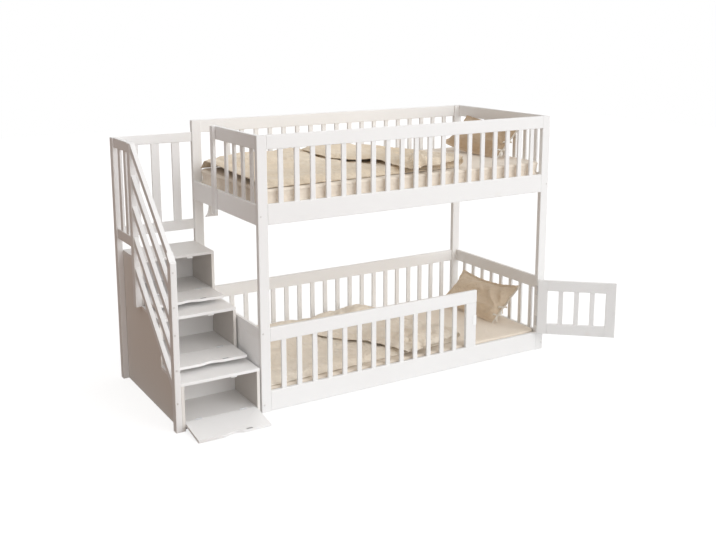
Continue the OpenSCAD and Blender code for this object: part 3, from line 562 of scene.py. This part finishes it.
def make_mattress(level, base):
    """Lofts a cover round the foam, puckers its sides and lays it on the cross slats."""
    seed = 3 if level == "lower" else 8
    # The profile runs from the underside's middle, round the side and over the top. Each step is
    # an inset from the outline in mm, a share of the depth and a corner radius in mm.
    profile = [(450, 0, 0), (425, 0, 10), (300, 0, 30), (120, 0, 30), (45, 0, 40),
               (22, 0, 45), (12, 0.02, 50), (5, 0.06, 55), (2.5, 0.12, 58), (1.2, 0.17, 60),
               (3.4, 0.19, 58), (4.6, 0.24, 58), (5.4, 0.32, 58), (6, 0.4, 58), (6.4, 0.48, 58),
               (6, 0.56, 58), (5.2, 0.64, 58), (4.4, 0.72, 58), (3.6, 0.78, 58), (1.2, 0.81, 60),
               (2.5, 0.86, 58), (6, 0.92, 55), (13, 0.965, 50), (22, 0.985, 45), (36, 0.99, 40),
               (60, 0.992, 40), (100, 0.994, 40), (160, 0.996, 30), (230, 0.998, 30),
               (300, 1, 30), (360, 1, 30), (425, 1, 10), (450, 1, 0)]
    play, pitch, corner_points = 0.0004, 0.0095, 9
    half = np.array([mattress_length, mattress_width]) / 2 - play
    rings = []
    for inset, share, corner in profile:
        inset, corner = inset / 1000, corner / 1000
        span = np.maximum(half - inset, 0)
        corner = min(corner, span.min() * 0.95)
        arcs = [[(sx * (span[0] - corner) + corner * math.cos(angle),
                  sy * (span[1] - corner) + corner * math.sin(angle))
                 for angle in np.radians(np.linspace(start, start + 90, corner_points))]
                for sx, sy, start in ((1, 1, 0), (-1, 1, 90), (-1, -1, 180), (1, -1, 270))]
        ring = []
        for arc, following, reach in zip(arcs, arcs[1:] + arcs[:1], (*half, *half)):
            # The arc, and points along the straight stretch to the next one.
            (x, y), (next_x, next_y) = arc[-1], following[0]
            count = int(reach * 2 / pitch)
            ring += arc + [(x + (next_x - x) * k / count, y + (next_y - y) * k / count)
                           for k in range(1, count)]
        rings.append([(x, y, share * (mattress_depth - play)) for x, y in ring])
    grid = np.array(rings)
    shares = np.array([share for _, share, _ in profile])[:, None]
    insets = np.array([inset for inset, _, _ in profile])[:, None] / 1000
    # Puckers stand on the sides, deepest near the lower seam, and run a little way over the top.
    # They are laid out along the ring a third of the way up.
    run_ring = grid[12]
    pucker_pitch, pucker_depth, corner_reach = 0.043, 0.0042, 0.11
    run = np.cumsum(np.linalg.norm(np.diff(run_ring, axis=0, append=run_ring[:1]), axis=1))
    flat = run_ring[:, :2]
    outward = unit(flat - np.clip(flat, -(half - 0.07), half - 0.07))
    wobble = wander(run_ring * (1, 1, 0), 5.0, seed)
    phase = run * 2 * math.pi / pucker_pitch + wobble * 5.5
    near_corner = bell(np.linalg.norm(half - np.abs(flat), axis=1), 0, corner_reach)
    pucker = (0.5 - 0.5 * np.cos(phase)) * (0.35 + 0.65 * (0.5 + 0.5 * wobble)) + 0.6 * near_corner
    side = bell(shares, 0.42, 0.24) * (insets < 0.012)
    grid[..., :2] -= outward[None] * (pucker[None, :, None] * side[..., None] * pucker_depth)
    # The top is slightly uneven, with drag lines towards the corners.
    top = shares * (insets > 0.02) * (shares > 0.9)
    uneven = wander(grid * (1, 1, 0), 3.4, seed + 1) * 0.0016
    drag = wander(grid * (5, 24, 0), 1.0, seed + 2) * 0.0011
    grid[..., 2] += np.minimum(top * (uneven + drag) - top * 0.0022, 0)
    grid += (mattress_left + mattress_length / 2, mattress_front + mattress_width / 2,
             base + play)
    made = finish_piece(f"mattress_{level}_cover", grid, tube_quads(numbered(*grid.shape[:2])),
                        sheet_cotton)
    # The innermost rings meet in a line along the middle, and are sewn together there.
    sew(made.data, 0.0012)
    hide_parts(f"mattress_{level}")


for level, base in beds.items():
    make_mattress(level, base)

# Each duvet lies over the mattress from its left end. Its far end is thrown back over it along
# a slanting edge and bunches into a heap. The cover is cotton with a flat stitched hem.
duvet_crease = 0.0024
# The lower duvet is painted lighter and the upper one darker: painted light and painted shade.
duvet_cottons = {
    "lower": cotton("duvet_cotton_lower_lit", (0.945, 0.875, 0.765), (0.915, 0.82, 0.69),
                    duvet_crease),
    "upper": cotton("duvet_cotton_upper_shaded", (0.85, 0.74, 0.59), (0.81, 0.675, 0.505),
                    duvet_crease)}
duvet_left, duvet_front = 0.006, 0.015
duvet_reach, duvet_back = 1.4, 0.872
layer_half, loop_radius = 0.0165, 0.0185
# Where the turned-back edge lies: how far along the bed, at each distance from the front.
lip_across = (0.0, 0.05, 0.15, 0.24, 0.32, 0.4, 0.475, 0.555, 0.69, 0.9)
lip_along = {"lower": (0.975, 0.925, 0.88, 0.83, 0.765, 0.66, 0.592, 0.556, 0.63, 0.88),
             "upper": (0.98, 0.93, 0.92, 0.91, 0.875, 0.78, 0.68, 0.635, 0.62, 0.79)}
# The bunched filling under the thrown-back layer, in heaps: height, middle and half-widths.
shared_heaps = ((0.022, (0.95, 0.3), (0.12, 0.12)), (0.022, (1.12, 0.14), (0.05, 0.09)))
heaps = {"lower": ((0.05, (1.03, 0.73), (0.1, 0.1)), *shared_heaps),
         "upper": ((0.045, (0.88, 0.66), (0.14, 0.12)), *shared_heaps)}


def refine(grid):
    """Puts a point between each two, on a smooth curve through their neighbours."""
    for axis in (0, 1):
        grid = np.moveaxis(grid, axis, 0)
        first, last = 2 * grid[:1] - grid[1:2], 2 * grid[-1:] - grid[-2:-1]
        wide = np.concatenate([first, grid, last])
        middle = (9 * (wide[1:-2] + wide[2:-1]) - wide[:-3] - wide[3:]) / 16
        dense = np.empty((2 * len(grid) - 1, *grid.shape[1:]))
        dense[::2], dense[1::2] = grid, middle
        grid = np.moveaxis(dense, 0, axis)
    return grid


def two_sheets(rows, columns):
    """Faces of two equal grids, one after the other, that are joined all round their rims."""
    index = numbered(rows, columns)
    rim = [*index[:, 0], *index[-1, 1:], *index[-2::-1, -1], *index[0, -2:0:-1]]
    total = index.size
    return (grid_quads(index) + grid_quads(index + total, flip=True)
            + [(b, a, a + total, b + total) for a, b in zip(rim, rim[1:] + rim[:1])])


def grid_normals(grid):
    """Unit normals of a grid, on the side that faces up where the grid lies flat."""
    return unit(np.cross(np.gradient(grid, axis=1), np.gradient(grid, axis=0)))


def run_along(grid, axis=0):
    """How far each point lies along its line of the grid."""
    steps = np.diff(grid, axis=axis, prepend=np.take(grid, [0], axis))
    return np.cumsum(np.linalg.norm(steps, axis=-1), axis)


def settle(made, frames, gravity=1.0, pressure=0.0, bending=0.5, tension=15.0, grow=0.0,
           pinned=None, rests_on=None, gap=0.003, mass=0.3):
    """Lets the cloth of a mesh find its rest on what carries it, and returns its points."""
    if rests_on is not None:
        rests_on.modifiers.new("rest", "COLLISION")
        rests_on.collision.thickness_outer = 0.004
        rests_on.collision.cloth_friction = 14
    cloth = made.modifiers.new("settle", "CLOTH")
    make = cloth.settings
    if pinned is not None:
        group = made.vertex_groups.new(name="pinned")
        group.add([int(i) for i in pinned], 1.0, "REPLACE")
        make.vertex_group_mass = "pinned"
    make.quality = 6
    make.mass = mass
    make.tension_stiffness = make.compression_stiffness = tension
    make.shear_stiffness = tension / 3
    make.bending_stiffness = bending
    make.tension_damping = make.compression_damping = 10
    make.bending_damping = 2
    make.shrink_min = -grow
    make.effector_weights.gravity = gravity
    if pressure:
        make.use_pressure = True
        make.uniform_pressure_force = pressure
    cloth.collision_settings.use_collision = rests_on is not None
    cloth.collision_settings.distance_min = gap
    cloth.point_cache.frame_start, cloth.point_cache.frame_end = 1, frames
    for step in range(1, frames + 1):
        bpy.context.scene.frame_set(step)
    settled = made.evaluated_get(bpy.context.evaluated_depsgraph_get())
    places = np.empty(len(settled.data.vertices) * 3)
    settled.data.vertices.foreach_get("co", places)
    made.modifiers.remove(cloth)
    bpy.context.scene.frame_set(1)
    return places.reshape(-1, 3)


def soft_step(low, high, value):
    """Rises smoothly from 0 at low to 1 at high."""
    share = np.clip((value - low) / (high - low), 0, 1)
    return share * share * (3 - 2 * share)


def mound(x, y, middle, half_widths):
    """A round mound of height 1, seen from above."""
    return bell(x, middle[0], half_widths[0]) * bell(y, middle[1], half_widths[1])


def fill_out(grid, seed, bed_top, first_upper):
    """The two faces of a filled cover whose middle is the grid. It ends at a stitched hem."""
    rows, columns = grid.shape[:2]
    # Half the thickness: thin at the stitched hem, full inside, and pressed where layers meet.
    hem_half, hem_width, tuck_start, tuck_pitch = 0.0022, 0.012, 0.011, 0.034
    runs, widths = run_along(grid, 1), run_along(grid, 0)
    from_ends = np.minimum(runs, runs[:, -1:] - runs)
    from_sides = np.minimum(widths, widths[-1:] - widths)
    hem = np.minimum(from_ends, from_sides)
    quilt = 1 + 0.12 * wander(grid * (1, 1, 0.2), 7.0, seed + 4)
    along_hem = np.where(from_ends < from_sides, widths, runs)
    tuck = (0.5 + 0.5 * np.cos(along_hem * 2 * math.pi / tuck_pitch
                               + 4 * wander(grid, 6.0, seed + 5))) * np.exp(-hem / 0.03)
    filled = 1 - np.exp(-np.maximum(hem - hem_width, 0) / 0.02)
    full = hem_half + (layer_half - hem_half) * filled * quilt
    full = full * (1 - 0.45 * tuck * (hem > tuck_start))
    # The thin hem of the upper layer comes down on the layer below it.
    grid[:, first_upper:, 2] -= (layer_half - full[:, first_upper:]) * 0.6
    grid[..., 2] = np.maximum(grid[..., 2], bed_top + 0.003)
    normals = grid_normals(grid)
    points = grid.reshape(-1, 3)
    tree = BVHTree.FromPolygons([tuple(p) for p in points], grid_quads(numbered(rows, columns)))
    # Each face stops half-way to the layer that it meets, and keeps its own cloth's thickness.
    clear, sight, cloth_half = 0.004, 0.034, 0.0015
    sides = []
    for sign in (1, -1):
        room = full.ravel().copy()
        for i, (place, normal) in enumerate(zip(points, normals.reshape(-1, 3) * sign)):
            start = Vector(place + normal * clear)
            hit = tree.ray_cast(start, Vector(normal), sight)
            if hit[0] is not None:
                room[i] = min(room[i], (hit[3] + clear) * 0.5 - 0.0006)
        room = room.reshape(rows, columns)
        for _ in range(2):
            wide = np.pad(room, 1, mode="edge")
            mean = (wide[:-2, 1:-1] + wide[2:, 1:-1] + wide[1:-1, :-2] + wide[1:-1, 2:]) / 4
            room = np.minimum(room, 0.4 * room + 0.6 * mean)
        sides.append(grid + normals * sign * np.maximum(room, cloth_half)[..., None])
    for side, above in zip(sides, (0.0012, 0.0006)):
        side[..., 2] = np.maximum(side[..., 2], bed_top + above)
    return np.stack(sides)


def lay_duvet(level, base):
    """Lays one folded sheet over the mattress, lets its upper layer sink and fills it out."""
    seed = 11 if level == "lower" else 23
    duvet_cotton = duvet_cottons[level]
    bed_top = base + mattress_depth
    rows, base_columns, loop_columns, top_columns = 43, 64, 6, 32
    back_rise, end_lift = (0.046, 0.01) if level == "lower" else (0.053, 0.02)
    under_middle = 0.0185

    def under_height(x, y):
        """Middle of the under layer: puffed up to the back left, and not pressed at its end."""
        rise = back_rise * soft_step(0.15, 0.75, y) * (1 - soft_step(0.55, 0.95, x))
        rise = rise * soft_step(-0.12, 0.2, x)
        return (under_middle + rise
                + end_lift * (1 - soft_step(0, 0.09, x)) * soft_step(0.0, 0.12, y))

    def heap_height(x, y):
        """The bunched filling under the upper layer."""
        return sum(height * mound(x, y, *spread) for height, *spread in heaps[level])

    v = np.linspace(0, 1, rows)[:, None]
    # The under layer, then the loop at the far end, then the layer thrown back over it. The far
    # fold slants towards the back, and the front edge draws in along the bed.
    fold_slant, front_slant, front_inset = 0.3, 0.05, 0.01
    u = np.linspace(0, 1, base_columns, endpoint=False)[None, :]
    fold_x = duvet_reach - fold_slant * v
    front_y = front_inset + front_slant * (u * fold_x)
    under = np.stack([u * fold_x, front_y + (duvet_back - front_y) * v, 0 * u * v], -1)
    bend = np.linspace(0, math.pi, loop_columns, endpoint=False)[None, :]
    loop_front = front_inset + front_slant * duvet_reach
    loop = np.stack([fold_x + loop_radius * np.sin(bend),
                     loop_front + (duvet_back - loop_front) * v + 0 * bend,
                     under_middle + loop_radius * (1 - np.cos(bend)) + 0 * v], -1)
    back = np.linspace(0, 1, top_columns)[None, :]
    lip_x = np.interp(v * duvet_back, lip_across, lip_along[level])
    top_x = fold_x + (lip_x - fold_x) * back
    top_front = 0.006 + 0.06 * soft_step(1.02, 1.36, top_x)
    top = np.stack([top_x, top_front + (duvet_back - top_front) * v, 0 * back * v], -1)
    x, y = top[..., 0], top[..., 1]
    inner = soft_step(0, 0.1, 1 - back) * soft_step(0, 0.04, back)
    corner = mound(x, y, (1.05, 0.1), (0.1, 0.12))
    folds = np.abs(wander(top * (1, 0.45, 0), 9.0, seed)) * 0.02
    crumple = wander(top * (1, 1, 0), 21.0, seed + 1) * (0.007 + 0.02 * corner)
    top[..., 2] = (under_height(x, y) + 2 * layer_half + heap_height(x, y) + 0.012
                   + (folds + crumple) * (0.35 + 0.65 * inner))
    sides = soft_step(0, 0.09, v) * soft_step(0, 0.09, 1 - v)
    swell = wander(under * (1, 1, 0), 4.2, seed + 2) * 0.007
    swell += wander(under * (1, 2.2, 0), 8.0, seed + 3) * 0.005
    creases = np.abs(wander(under * (1.4, 0.7, 0), 7.0, seed + 7))
    swell += 0.006 - 0.03 * np.minimum(creases, 0.25)
    under[..., 2] = (under_height(under[..., 0], under[..., 1]) * sides + 0.003 * (1 - sides)
                     + swell * sides * soft_step(0, 0.07, u))
    corner_place = np.array([duvet_left, duvet_front, bed_top])
    # The upper layer sinks onto the lower one and onto the bunched filling under its heap.
    hill_columns, hill_rows = 110, 70
    ground_x, ground_y = np.meshgrid(np.linspace(-0.1, 1.6, hill_columns),
                                     np.linspace(-0.1, 1.0, hill_rows))
    ground = (under_height(ground_x, ground_y) + 2 * layer_half - 0.006
              + heap_height(ground_x, ground_y))
    ground = ground * (0.55 + 0.45 * soft_step(-0.02, 0.08, ground_y))
    hill = np.stack([ground_x, ground_y, ground], -1) + corner_place
    filling = finish_piece("filling", hill, grid_quads(numbered(hill_rows, hill_columns)),
                           duvet_cotton)
    # Only the upper layer moves, and the loop holds its end.
    moving = np.concatenate([loop, top], axis=1) + corner_place
    index = numbered(*moving.shape[:2])
    layer = finish_piece("upper_layer", moving, grid_quads(index), duvet_cotton)
    settled = settle(layer, 30, bending=3.0, tension=14.0, grow=0.02,
                     pinned=index[:, :loop_columns].ravel(), rests_on=filling, gap=0.006,
                     mass=0.4).reshape(moving.shape)
    top = settled[:, loop_columns:] - corner_place
    for spent in (layer, filling):
        bpy.data.objects.remove(spent)
    # The front corner of the turned-back edge is gathered into short standing folds.
    x, y = top[..., 0], top[..., 1]
    gather = mound(x, y, (1.04, 0.07), (0.075, 0.085))
    spread = np.arctan2(y + 0.05, x - 0.93)
    top[..., 2] += gather * (0.016 + 0.017 * np.sin(spread * 13 + seed))
    near_lip = bell(back, 1, 0.09) * soft_step(0.0, 0.2, 1 - gather)
    top[..., 2] += near_lip * wander(top * (0.6, 1, 0), 17.0, seed + 6) * 0.007
    creases = np.abs(wander(top * (0.8, 1.3, 0), 8.0, seed + 8))
    top[..., 2] += (0.005 - 0.028 * np.minimum(creases, 0.25)) * inner
    grid = np.concatenate([under, loop, top], axis=1) + corner_place
    low = np.array([duvet_left + 0.001, duvet_front + 0.004, bed_top + 0.003])
    high = np.array([1.448, duvet_front + 0.885, bed_top + 0.2])
    grid = refine(np.clip(grid, low, high))
    first_upper = 2 * (base_columns + loop_columns) + 3
    cloth = finish_piece(f"duvet_{level}_cover", fill_out(grid, seed, bed_top, first_upper),
                         two_sheets(*grid.shape[:2]), duvet_cotton)
    sew(cloth.data)
    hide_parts(f"duvet_{level}")


for level, base in beds.items():
    lay_duvet(level, base)

# Each pillow is a filled cotton case with a flat hem round it, and two small bows close its front
# end. It stands on the mattress and leans on the right end's rail, one corner curled up.
pillow_crease = 0.0022
# The lower pillow is painted lighter and the upper one darker: painted light and painted shade.
pillow_cottons = {
    "lower": cotton("pillow_cotton_lower_lit", (0.86, 0.73, 0.57), (0.8, 0.66, 0.5), pillow_crease),
    "upper": cotton("pillow_cotton_upper_shaded", (0.65, 0.5, 0.345), (0.6, 0.45, 0.305), pillow_crease)}
tie_cotton = cotton("tie_cotton", (0.93, 0.88, 0.8), (0.9, 0.84, 0.75), 0.0008)
pillow_wide, pillow_long, pillow_thick = 0.31, 0.6, 0.12
pillow_lean = math.radians(54)
pillow_middle = Vector((1.9163, 0.5, 0.1265))
flange, seam_half = 0.016, 0.0008
end_rail_face = 2.008


def bag_quads(rows, columns):
    """Faces of two equal grids that share their outermost points, and the second one's numbers."""
    upper = numbered(rows, columns)
    lower = upper.copy()
    lower[1:-1, 1:-1] = numbered(rows - 2, columns - 2, rows * columns)
    return grid_quads(upper) + grid_quads(lower, flip=True), lower


def fill_pillow(level, base):
    """Fills a case, hems and creases it, leans it on the rail and returns where its bows sit."""
    seed = 31 if level == "lower" else 47
    pillow_cotton = pillow_cottons[level]
    rows, columns = 75, 41
    b, a = np.meshgrid(np.linspace(-1, 1, rows), np.linspace(-1, 1, columns), indexing="ij")
    wide, long = pillow_wide / 2 - flange * 0.6, pillow_long / 2 - flange * 0.6
    bulge = (1 - a ** 4) * (1 - b ** 4)
    flat = np.stack([a * wide, b * long, 0.014 * bulge], -1)
    flat[..., 2] += wander(flat * (1, 1, 0), 22.0, seed) * 0.004 * bulge
    quads, lower_index = bag_quads(rows, columns)
    places = np.concatenate([flat.reshape(-1, 3),
                             (flat * (1, 1, -1))[1:-1, 1:-1].reshape(-1, 3)])
    case = finish_piece("pillow_case", places, quads, pillow_cotton)
    places = settle(case, 26, gravity=0.0, pressure=1.0, bending=0.3, tension=12.0, mass=0.25)
    bpy.data.objects.remove(case)
    upper, lower = places[numbered(rows, columns)], places[lower_index]
    thick = pillow_thick / (upper[..., 2].max() - lower[..., 2].min())
    # The filling holds the outline out, so only part of the drawn-in sides is kept.
    upper, lower = [flat * (0.45, 0.45, 0) + side * (0.55, 0.55, thick) for side in (upper, lower)]
    edge = np.zeros((rows, columns), bool)
    edge[[0, -1]] = edge[:, [0, -1]] = True
    upper[edge, 2] += seam_half
    lower[edge, 2] -= seam_half
    # The hem runs on from the seam in four steps, and waves a little towards its own edge.
    wave_pitch, hem_steps = 0.06, (0.25, 0.55, 0.8, 1.0)
    for direction, axis in ((1, 0), (0, 1)):
        outward = np.eye(3)[direction]
        grown = []
        for sheet_sign, grid in ((1, upper), (-1, lower)):
            grid = np.moveaxis(grid, axis, 0)
            for sign, end in ((-1, 0), (1, -1)):
                rim = grid[end]
                waver = wander(rim * (1, 1, 0), 9.0, seed + 2)
                wave = np.sin(run_along(rim) * 2 * math.pi / wave_pitch + 5 * waver)
                wave *= 0.6 + 0.4 * waver
                strips = []
                for step in hem_steps:
                    strip = rim + outward * sign * step * flange * (1 + 0.08 * wave[:, None])
                    strip[:, 2] = (wave * 0.0026 * step ** 1.3 + sheet_sign * 0.0014
                                   + (rim[:, 2] - sheet_sign * seam_half) * (1 - step))
                    strips.append(strip)
                strips = np.array(strips)
                grid = (np.concatenate([strips[::-1], grid]) if end == 0
                        else np.concatenate([grid, strips]))
            grown.append(np.moveaxis(grid, 0, axis))
        upper, lower = grown
    rows, columns = upper.shape[:2]
    sheets = []
    for sign, grid in ((1, upper), (-1, lower)):
        x, y, z = grid[..., 0], grid[..., 1], grid[..., 2]
        low_share = (1 - x / (pillow_wide / 2)) / 2
        left_share = (1 + y / (pillow_long / 2)) / 2
        # Creases fan out from the bows over the case, sharp on top and shallow between.
        from_tie = np.stack([x + 0.07, y + pillow_long / 2 - 0.02], -1)
        away = np.linalg.norm(from_tie, axis=-1)
        angle = np.arctan2(from_tie[..., 0], from_tie[..., 1])
        waver = wander(grid * (1, 1, 0), 6.0, seed + 4)
        ridge = 1 - np.abs(np.sin(angle * 5.5 + 1.3 * waver)) * 2
        fan = ridge * bell(away, 0.13, 0.17) * 0.0095
        second = 1 - np.abs(np.sin((x * 9 + y * 15) + 3.2 * waver)) * 2
        fan += second * bell(y, 0.12, 0.13) * 0.0045
        sag = wander(grid * (2.2, 0.8, 0), 6.0, seed + 5) * 0.006
        inner = np.clip((1 - (x / wide) ** 6) * (1 - (y / long) ** 6), 0, 1)
        z = z + sign * inner * (fan + sag) + sign * inner * 0.014 * (low_share - 0.5)
        z = z + 0.1 * np.clip(left_share, 0, 1.1) ** 4 * np.clip(low_share, 0, 1.1) ** 2
        # The top edge sags along its middle and to the back, and the lower edge is shorter.
        x = x - 0.042 * (1 - low_share) ** 2 * np.clip(1 - (y / long) ** 2, 0, 1)
        x = x - 0.028 * (1 - low_share) ** 2 * np.clip(left_share, 0, 1) ** 3
        y = y * (1 - 0.2 * np.clip(low_share, 0, 1) ** 1.5)
        sheets.append(np.stack([x, y, z], -1))
    total = rows * columns
    shell = two_sheets(rows, columns)
    points = np.reshape(sheets, (-1, 3))
    turn = np.array(Matrix.Rotation(-pillow_lean, 3, "Y"))
    points = points @ turn.T + np.array(pillow_middle)
    clear = 0.0006
    points[:, 2] += base + mattress_depth + clear - points[:, 2].min()
    points[:, 0] -= max(points[:, 0].max() - end_rail_face + clear, 0)
    case = finish_piece(f"pillow_{level}_case", points, shell, pillow_cotton)
    case.data.materials.append(tie_cotton)
    # The hem of the front end, its seam and four steps, is of the ties' paler cotton.
    hem_points = (1 + len(hem_steps)) * columns
    for face, quad in zip(case.data.polygons, shell):
        if max(v % total for v in quad) < hem_points:
            face.material_index = 1
    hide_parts(f"pillow_{level}")
    # The bows sit on the hem of the front end, below its middle.
    front = points[:total].reshape(rows, columns, 3)
    return [front[3, int(columns * share)] for share in (0.22, 0.42)]


def ribbon(places, widths, side, thickness=0.001):
    """A flat tape along a line of places. Its width lies along side, and may differ by place."""
    places, side = np.array(places), np.array(side, float)
    ahead = unit(np.gradient(places, axis=0))
    side = unit(side - ahead * (ahead @ side)[:, None])
    face = np.cross(side, ahead)
    widths = np.broadcast_to(widths, len(places))[:, None]
    ring = [places + side * widths / 2 * u + face * thickness / 2 * v
            for u, v in ((-1, -1), (-0.5, -1.4), (0.5, -1.4), (1, -1),
                         (1, 1), (0.5, 1.4), (-0.5, 1.4), (-1, 1))]
    index = numbered(len(places), len(ring))
    return np.stack(ring, 1).reshape(-1, 3), tube_quads(index) + [index[0, ::-1], index[-1]]


def tie_bows(level, knots):
    """Ties a bow of two petals, two tails and a knot at each place."""
    points, faces = [], []
    out = np.array((-0.62, -0.45, 0.64))
    petal_reach, tail_reach = 0.031, 0.042
    for number, knot in enumerate(knots):
        knot = np.array(knot) + out * 0.006
        tapes = []
        for sign in (-1, 1):
            lift = 0.25 + 0.2 * number * sign
            along = np.array((0.55 * sign, -0.75 * sign, lift))
            along = unit(along - out * (along @ out))
            across = np.cross(out, along)
            t = np.linspace(0.0, math.pi, 20)
            petal = np.sin(t)[:, None]
            droop = np.array((0, 0, 0.006)) * petal ** 2
            tapes.append((knot + along * petal_reach * petal
                          + out * 0.0065 * np.sin(2 * t)[:, None] - droop,
                          0.005 + 0.01 * np.sin(t) ** 0.7, across))
            t = np.linspace(0, 1, 12)
            hang = np.array((-0.3 - 0.15 * sign, -0.2 - 0.3 * sign, -0.9))
            hang -= out * (hang @ out) * 0.9
            fall = t[:, None]
            tapes.append((knot + hang * tail_reach * fall + out * 0.004 * np.sin(3 * fall + sign),
                          0.006 + 0.005 * t, np.cross(out, hang)))
        t = np.linspace(0, 2 * math.pi, 15)[:, None]
        up = np.cross(out, (1, -1, 0))
        tapes.append((knot + out * 0.0035 * np.cos(t) + up * 0.0042 * np.sin(t), 0.007,
                      np.cross(out, up)))
        for tape in tapes:
            more, quads = ribbon(*tape)
            shift = sum(len(p) for p in points)
            points.append(more)
            faces += [tuple(v + shift for v in quad) for quad in quads]
    bows = finish_piece(f"pillow_{level}_ties", np.concatenate(points), faces, tie_cotton)
    soften = bows.modifiers.new("soften", "SUBSURF")
    soften.levels = soften.render_levels = 1


for level, base in beds.items():
    tie_bows(level, fill_pillow(level, base))
